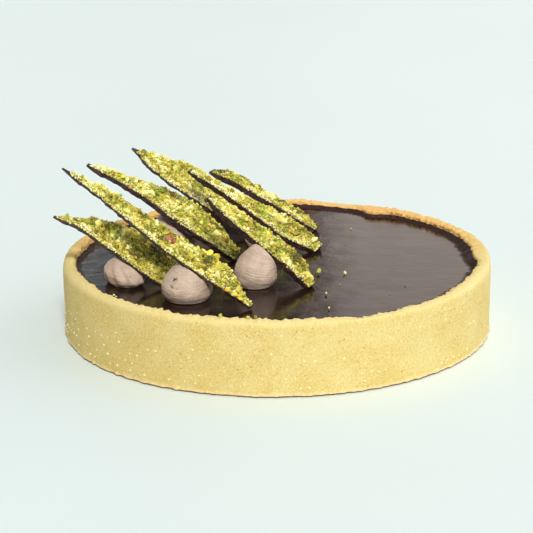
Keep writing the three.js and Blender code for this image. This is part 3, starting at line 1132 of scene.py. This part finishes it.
def make_plate(number, shard, finish):
    bm = plate_grid(shard)
    up = bmesh.ops.extrude_face_region(bm, geom=bm.faces[:])
    raised = [item for item in up["geom"] if isinstance(item, bmesh.types.BMVert)]
    lowered = [vert for vert in bm.verts if vert not in set(raised)]
    bmesh.ops.translate(bm, verts=lowered, vec=(0, 0, -shard["thickness"]))
    bmesh.ops.recalc_face_normals(bm, faces=bm.faces)
    corners = [e for e in bm.edges if e.calc_face_angle(0) > math.radians(60)]
    walls = [e for e in bm.edges if abs(e.verts[0].co.z - e.verts[1].co.z) > 1]
    bmesh.ops.subdivide_edges(bm, edges=walls, cuts=3)
    corners = [e for e in corners if e.is_valid and e not in set(walls)]
    bmesh.ops.bevel(bm, geom=corners, offset=EDGE_ROUND, offset_type="OFFSET", affect="EDGES",
                    segments=2, profile=0.5, material=-1, clamp_overlap=True)
    cover = bm.verts.layers.float.new("cover")
    shape_plate(bm, shard, cover)
    bmesh.ops.transform(bm, matrix=shard["place"], verts=bm.verts)
    for vert in bm.verts:
        vert.co.z = max(vert.co.z, GANACHE_TOUCH)
    bmesh.ops.remove_doubles(bm, verts=bm.verts, dist=1e-3)
    bmesh.ops.recalc_face_normals(bm, faces=bm.faces)
    return piece_from(bm, f"chocolate_shard_{number}", [finish], sharp_over=50)


print("steps along each shard:", [round(shard["length"] / ALONG_STEP) for shard in SHARDS])

# %% [markdown]
# ### The look of a shard
#
# The sides and the underside are plain dark chocolate, dusty where they were snapped. On top,
# the ground pistachio fills every gap between the loose crumbs, so the plate itself is coloured
# like it there. The `cover` value that each point carries says how much nut lies on it.

# %% Chocolate and ground nut finish
CHOCOLATE = tint(44, 26, 23)
CHOCOLATE_DUSTY = tint(88, 60, 52)
NUT_DARK = tint(78, 68, 28)
NUT_MID = tint(146, 134, 58)
NUT_PALE = tint(204, 192, 108)


def shard_finish():
    finish = Finish("chocolate_and_ground_nut", Roughness=0.5)
    fine = finish.noise(grain=0.8, detail=4, rough=0.6)
    wide = finish.noise(grain=5, detail=3)
    chocolate = finish.blend(finish.fade(fine * 0.6 + wide * 0.4, 0.42, 0.68), CHOCOLATE, CHOCOLATE_DUSTY)
    ground = finish.ramp(fine, [(0.34, NUT_DARK), (0.5, NUT_MID), (0.68, NUT_PALE)])
    covered = finish.fade(finish.read("cover") + (fine - 0.5) * 0.5, 0.35, 0.6)
    colour = finish.blend(covered, chocolate, ground)
    relief = finish.bump(fine, 0.4)
    return finish.surface(Base_Color=colour, Roughness=0.42 + covered * 0.4, Normal=relief)


nutty = shard_finish()
for number, shard in enumerate(SHARDS, start=1):
    plate = make_plate(number, shard, nutty)
    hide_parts(f"pistachio_shard_{number}")

# %% [markdown]
# ## The chopped pistachio
#
# Chopped nuts are angular: a round kernel cut by a knife a few times. Three sizes make the bed:
# fine meal, chunks made of bevelled blocks pushed out of true, and large nibs, which are balls cut
# by a few planes. A handful of each, turned and sized at random, is enough for thousands. They
# lie in a jittered grid over every shard, on the clumps of its bed. Each keeps a `shade`, from the
# pale inside of the kernel to its dark outside, and a wide noise turns it yellow or green. The
# `shade` of meal and chunks also carries painted light: darker towards each shard's foot as
# painted shade, and paler along the near edge, partly the kernels' own colour and partly painted
# light.

# %% Chopping a few crumbs
def meal_grain(draws):
    """A tiny uneven grain of twenty faces."""
    bm = bmesh.new()
    bmesh.ops.create_icosphere(bm, subdivisions=1, radius=1.0)
    for vert in bm.verts:
        vert.co *= 1 + 0.5 * (draws.rand() - 0.5)
    return shape_arrays(bm)


def chunk(draws):
    """A knife-cut chunk: a block pushed out of true, with its edges bevelled."""
    bm = bmesh.new()
    bmesh.ops.create_cube(bm, size=1.4)
    for vert in bm.verts:
        vert.co += Vector(draws.rand(3) - 0.5) * 0.7
    bmesh.ops.bevel(bm, geom=bm.edges[:], offset=0.24, offset_type="OFFSET", affect="EDGES",
                    segments=1, profile=0.5, material=-1, clamp_overlap=True)
    return shape_arrays(bm)


def nib(draws):
    """A lumpy ball that a knife has cut a few times."""
    bm = bmesh.new()
    bmesh.ops.create_icosphere(bm, subdivisions=3, radius=1.0)
    for vert in bm.verts:
        vert.co *= 1 + 0.5 * rough(vert.co * 4, 3.1, draws.rand() * 0.02 + len(bm.verts))
    bmesh.ops.scale(bm, vec=(1.2 + 0.3 * draws.rand(), 1.0, 0.8 + 0.2 * draws.rand()), verts=bm.verts)
    for _ in range(3):
        way = Vector(draws.normal(size=3)).normalized()
        everything = bm.verts[:] + bm.edges[:] + bm.faces[:]
        cut = bmesh.ops.bisect_plane(bm, geom=everything, plane_co=way * (0.5 + 0.3 * draws.rand()),
                                     plane_no=way, clear_outer=True)
        rim = [item for item in cut["geom_cut"] if isinstance(item, bmesh.types.BMEdge)]
        bmesh.ops.holes_fill(bm, edges=rim)
    return shape_arrays(bm)


draws = random_source(7)
MEAL_SHAPES = [meal_grain(draws) for _ in range(8)]
CHUNK_SHAPES = [chunk(draws) for _ in range(10)]
NIB_SHAPES = [nib(draws) for _ in range(8)]
print("faces:", len(MEAL_SHAPES[0][1]), len(CHUNK_SHAPES[0][1]), [len(s[1]) for s in NIB_SHAPES])

# %% Strewing them over the shards
def strewn(shard, draws, spacing, margin):
    """Places on a shard's top: one draw for each cell of a jittered grid, as rows of numbers."""
    low = min(m - h for m, h in (width_at(shard, t / 20) for t in range(21)))
    high = max(m + h for m, h in (width_at(shard, t / 20) for t in range(21)))
    places = []
    for i in range(int(shard["length"] / spacing)):
        for j in range(int((high - low) / spacing) + 1):
            slide = draws.rand(2)
            x = -(i + slide[0]) * spacing
            y = low + (j + slide[1]) * spacing
            middle, half = width_at(shard, clamp(-x / shard["length"]))
            inset = half - abs(y - middle)
            if inset > margin:
                places.append((x, y, inset, y < middle))
    return places


def settled(shard, shape, x, y, height, size, turn):
    """A copy of a shape in millimetres, turned and laid on a shard."""
    points, corners = shape
    place = np.array(shard["place"])
    local = points * size @ turn.T + np.array([x, y, height])
    return local @ place[:3, :3].T + place[:3, 3], corners


print("cells on the first shard:", len(strewn(SHARDS[0], random_source(1), 0.7, 0.1)))

# %% The nuts' finishes
YELLOW_STOPS = [
    (0.0, tint(248, 240, 182)), (0.3, tint(230, 217, 114)), (0.55, tint(206, 189, 64)),
    (0.8, tint(160, 140, 42)), (1.0, tint(88, 74, 30)),
]
GREEN_STOPS = [
    (0.0, tint(236, 232, 160)), (0.3, tint(206, 204, 88)), (0.55, tint(166, 170, 48)),
    (0.8, tint(122, 130, 36)), (1.0, tint(76, 82, 28)),
]


def nut_finish(name, green):
    """A kernel's colours by shade; `green` is the share of it that leans to green."""
    finish = Finish(name, Roughness=0.7)
    finish.let_light_in(0.1, (0.9, 1.0, 0.3), 0.4)
    fine = finish.noise(grain=0.45, detail=3)
    wide = finish.noise(grain=4.5, detail=2)
    shade = finish.read("shade") + (fine - 0.5) * 0.25
    leaning = finish.fade(wide, 0.72 - green * 0.4, 0.84 - green * 0.4)
    colour = finish.blend(leaning, finish.ramp(shade, YELLOW_STOPS), finish.ramp(shade, GREEN_STOPS))
    relief = finish.bump(fine, 0.12)
    return finish.surface(Base_Color=colour, Roughness=0.6 + fine * 0.25, Normal=relief)


def plain_nut_finish(name, light, deep):
    finish = Finish(name, Roughness=0.55)
    finish.let_light_in(0.1, (0.9, 1.0, 0.3), 0.6)
    fine = finish.noise(grain=0.9, detail=3)
    shade = finish.read("shade") * 0.6 + fine * 0.5
    colour = finish.blend(finish.fade(shade, 0.25, 0.75), light, deep)
    return finish.surface(Base_Color=colour, Roughness=0.5 + fine * 0.2, Normal=finish.bump(fine, 0.2))


print("stops of the yellow ramp:", len(YELLOW_STOPS))

# %% The shade of a crumb
def nut_shade(shard, x, y, inset, near, draw, shift=0):
    """Pale and fine along the near edge, partly the nuts' own colour and partly painted light; deeper in
    patches further in, and darker towards the foot as painted shade.
    """
    seed = shard["seed"] + shift
    patches_and_foot_shade = rough((x, y, seed), 9) * 0.65 + rough((x, y, seed), 3.4, 4) * 0.55
    # Painted shade: the nuts turn darker towards the shard's foot, down by the ganache.
    patches_and_foot_shade += 0.15 * (1 - smoothstep(-x, 0, 45))
    # Partly painted light: the near edge is paler, partly the nuts' own colour and partly light that the
    # edge catches.
    edge = (1 - smoothstep(inset, 0.4, 3.2)) * (1.0 if near else 0.3)
    shade = clamp(0.54 + patches_and_foot_shade - 0.45 * edge + 0.45 * (draw - 0.5))
    return clamp(shade - shard.get("paler", 0))


print("shade at a near edge:", round(nut_shade(SHARDS[0], -30, 0, 0.5, True, 0.5), 2))

# %% Meal and chunks
MEAL_SPACING = 0.6
CHUNK_SPACING = 1.25


def ground_meal():
    pale, deep = [], []
    for shard in SHARDS:
        draws = random_source(shard["seed"])
        for x, y, inset, near in strewn(shard, draws, MEAL_SPACING, -0.1):
            turn = turn_matrix(draws.normal(size=4))
            span, tone, lift = draws.rand(3)
            size = 0.2 + 0.32 * span ** 1.7
            shade = nut_shade(shard, x, y, inset, near, tone)
            rise = bed_height(shard, x, y, inset)
            if rise < 0.04:
                continue
            shape = MEAL_SHAPES[draws.randint(len(MEAL_SHAPES))]
            copy = settled(shard, shape, x, y, rise + size * (1.1 * lift - 0.2), size, turn)
            if copy[0][:, 2].min() > GANACHE_TOUCH:
                (pale if shade < 0.47 else deep).append((copy, shade))
    return pale, deep


def chopped_chunks():
    yellow, green = [], []
    for shard in SHARDS:
        draws = random_source(shard["seed"] + 100)
        for x, y, inset, near in strewn(shard, draws, CHUNK_SPACING, 0.1):
            turn = turn_matrix(draws.normal(size=4))
            span, tone, keep = draws.rand(3)
            rise = bed_height(shard, x, y, inset)
            if keep > 0.35 + 0.6 * rise or rise < 0.04:
                continue
            size = 0.38 + 0.6 * span ** 2
            shade = nut_shade(shard, x, y, inset, near, tone, shift=5)
            shape = CHUNK_SHAPES[draws.randint(len(CHUNK_SHAPES))]
            copy = settled(shard, shape, x, y, rise + size * 0.5, size, turn)
            leans_green = rough((x, y, shard["seed"]), 7, 12) + 0.5 * (draws.rand() - 0.5) > 0.12
            if copy[0][:, 2].min() > GANACHE_TOUCH:
                (green if leans_green else yellow).append((copy, shade))
    return yellow, green


def strew(name, made, finish):
    copies = [copy for copy, _ in made]
    shades = [shade for _, shade in made]
    piece = joined_copies(name, copies, [finish], shades, sharp_over=35)
    return piece


pale_meal, deep_meal = ground_meal()
strew("pale_pistachio_meal", pale_meal, nut_finish("pale_meal", 0.45))
strew("green_pistachio_meal", deep_meal, nut_finish("green_meal", 0.6))
yellow_chunks, green_chunks = chopped_chunks()
strew("yellow_pistachio_chunks", yellow_chunks, nut_finish("yellow_chunk", 0.3))
strew("green_pistachio_chunks", green_chunks, nut_finish("green_chunk", 1.0))

# %% [markdown]
# ### The large nibs
#
# Some kernels were hardly cut. Most of the large nibs lie along the snapped edges, where they
# break the outline, and the solids already hold those, so the same simple draws place them here.
# A few more are listed one by one, where a bright yellow, a green or a red-skinned kernel stands out.

# %% Large nibs and red skins
NIB_SMALLEST = 0.9
NIB_LARGEST = 2.1
NIB_MARGIN = 1.5            # how far their middles keep from the outline
NIB_LIFT = 1.15             # how high their middles lie over the chocolate
NIB_TRIM = 0.86             # the size of a finished nib beside the one in the solid

# By shard: where single kernels lie on it in millimetres from its foot, with their radius.
YELLOW_NIBS = {
    0: [(-30.8, 17.6, 1.7), (-25.7, 19.3, 1.3), (-31.8, 13.5, 1.2), (-12.2, 4.7, 1.0)],
    1: [(-32.6, 12.0, 1.6), (-29.6, 12.4, 1.7), (-28.3, 10.0, 1.4), (-34.6, 10.4, 1.2),
        (-45.8, 8.1, 1.1), (-12.6, -1.2, 1.3), (-8.6, -1.0, 1.3), (-5.4, -0.6, 1.0)],
    2: [(-23.1, 9.5, 1.2), (-14.8, 9.8, 1.2)],
    3: [(-34.2, 15.0, 1.3), (-41.9, 15.6, 1.2)],
    4: [(-52.4, 4.2, 1.3), (-44.3, -0.3, 1.1), (-30.4, 7.6, 1.1)],
    5: [(-31.0, 7.1, 1.4), (-45.6, 6.7, 1.2)],
    6: [(-52.0, 11.3, 1.3)],
}
GREEN_NIBS = {
    0: [(-35.2, 11.7, 1.2), (-32.5, 10.6, 1.4)],
    1: [(-37.6, 7.3, 1.5), (-82.0, 7.2, 1.2), (-40.5, 5.2, 1.1)],
    2: [(-73.3, 3.8, 1.2), (-50.4, 6.6, 1.2), (-47.2, 14.6, 1.5), (-46.3, 7.4, 1.3)],
    4: [(-33.0, 2.1, 1.4), (-30.5, 1.6, 1.2)],
    5: [(-24.7, 5.6, 1.2)],
    6: [(-46.1, 7.4, 1.3), (-18.8, 10.4, 1.1)],
}
SKINS = {
    1: [(-50.0, 3.1, 1.8), (-46.9, 3.3, 1.6), (-52.3, 4.4, 1.1)],
    2: [(-60, 2, 0.7)],
    5: [(-28, 3, 0.6)],
}
print("yellow nibs set by hand:", sum(len(places) for places in YELLOW_NIBS.values()))

# %% The nibs that the solids hold
def simple_draws(state):
    """The plain repeatable draws from 0 to 1 that also placed the nibs of the solids."""
    state = state * 2654435761 % 2 ** 32
    while True:
        state = (state * 1664525 + 1013904223) % 2 ** 32
        yield state / 2 ** 32


def straight_width(shard, along):
    near, far = shard["near"], shard["far"]
    last = len(near) - 1
    i = min(int(along * last), last - 1)
    low = lerp(near[i], near[i + 1], along * last - i)
    high = lerp(far[i], far[i + 1], along * last - i)
    return (high - low) / 2, (high + low) / 2


def edge_nibs(shard):
    """The nibs that the solid carries: place, size and two turns for each."""
    draws = simple_draws(shard["seed"])
    nibs = []
    for n in range(shard["nibs"]):
        along = 0.03 + 0.92 * (n + next(draws)) / shard["nibs"]
        side = next(draws) * 2 - 1
        middle, half = straight_width(shard, along)
        if half < NIB_MARGIN:
            continue
        size = lerp(NIB_SMALLEST, NIB_LARGEST, next(draws) ** 2)
        stretch = [1 + 0.6 * next(draws), 0.8 + 0.4 * next(draws), 0.7 + 0.3 * next(draws)]
        tilt, spin = next(draws) * 3, next(draws) * 6
        across = middle + side * (half - NIB_MARGIN)
        nibs.append((-along * shard["length"], across, size, stretch, tilt, spin))
    return nibs


print("nibs on the first shard's edges:", len(edge_nibs(SHARDS[0])))

# %% Laying the nibs
def laid_nib(shard, number, x, y, size, stretch, tilt, spin):
    points, corners = NIB_SHAPES[number % len(NIB_SHAPES)]
    turn = np.array(Matrix.Rotation(spin, 3, "Z") @ Matrix.Rotation(tilt, 3, "X"))
    return settled(shard, (points * stretch, corners), x, y, NIB_LIFT, size * NIB_TRIM, turn)


def large_nibs():
    made = {"edge": [], "yellow": [], "green": [], "skin": []}
    for index, shard in enumerate(SHARDS):
        for number, nib_at in enumerate(edge_nibs(shard)):
            shade = 0.2 + 0.6 * rough((nib_at[0], nib_at[1], index * 9), 4) + 0.25 * (number % 3)
            made["edge"].append((laid_nib(shard, number, *nib_at), clamp(shade)))
        for kind, places in (("yellow", YELLOW_NIBS), ("green", GREEN_NIBS), ("skin", SKINS)):
            for number, (x, y, size) in enumerate(places.get(index, [])):
                turns = (number * 1.3, number * 2.1 + x)
                copy = laid_nib(shard, number + index, x, y, size * 0.95, (1.2, 1, 0.9), *turns)
                made[kind].append((copy, (number * 0.37) % 1))
    for kind in made:
        made[kind] = [
            (copy, shade) for copy, shade in made[kind] if copy[0][:, 2].min() > GANACHE_TOUCH
        ]
    return made


nibs = large_nibs()
strew("edge_pistachio_nibs", nibs["edge"], nut_finish("edge_nib", 0.7))
yellow_nib = plain_nut_finish("yellow_nib", tint(246, 228, 92), tint(222, 184, 38))
green_nib = plain_nut_finish("green_nib", tint(176, 196, 70), tint(106, 140, 36))
red_skin = plain_nut_finish("red_skin", tint(176, 104, 84), tint(120, 58, 50))
strew("yellow_pistachio_nibs", nibs["yellow"], yellow_nib)
strew("green_pistachio_nibs", nibs["green"], green_nib)
strew("red_skins", nibs["skin"], red_skin)

# %% [markdown]
# ### Stray crumbs
#
# A few crumbs always fall beside the shards. Some lie on the ganache, some on the rim in front.
# They use the same chunks, laid down one by one in the tart's own millimetres.

# %% Crumbs that fell beside the shards
# Place, size, shade from pale to dark.
STRAYS = [
    (19.3, -23.4, 31.7, 1.15, 0.4), (31.2, -23.7, 31.6, 0.85, 0.0), (28.4, -40.3, 31.5, 0.34, 0.45),
    (21.7, -54.8, 31.7, 1.0, 0.25), (22.5, -75.3, 31.6, 0.7, 0.0), (57.5, -42.6, 31.5, 0.4, 0.75),
    (50.1, -54.1, 31.5, 0.3, 0.6), (36.8, 50.9, 31.5, 0.36, 0.3), (-72.4, -53.7, 31.6, 0.5, 0.2),
    (-71.4, -55.2, 31.6, 0.4, 0.1), (-24.2, -93.8, 34.2, 0.95, 0.5),
    (-12.4, -94.6, 34.3, 0.8, 0.3), (-9.0, -95.0, 34.3, 0.85, 0.8),
]


def stray_crumbs():
    draws = random_source(3)
    made = []
    for x, y, z, size, shade in STRAYS:
        points, corners = CHUNK_SHAPES[draws.randint(len(CHUNK_SHAPES))]
        turn = turn_matrix(draws.normal(size=4))
        placed = points * size * (1.2, 0.9, 0.8) @ turn.T
        placed += np.array([x, y, z - placed[:, 2].min()])
        made.append(((placed, corners), shade))
    return made


strew("stray_crumbs", stray_crumbs(), nut_finish("stray_nut", 0.8))
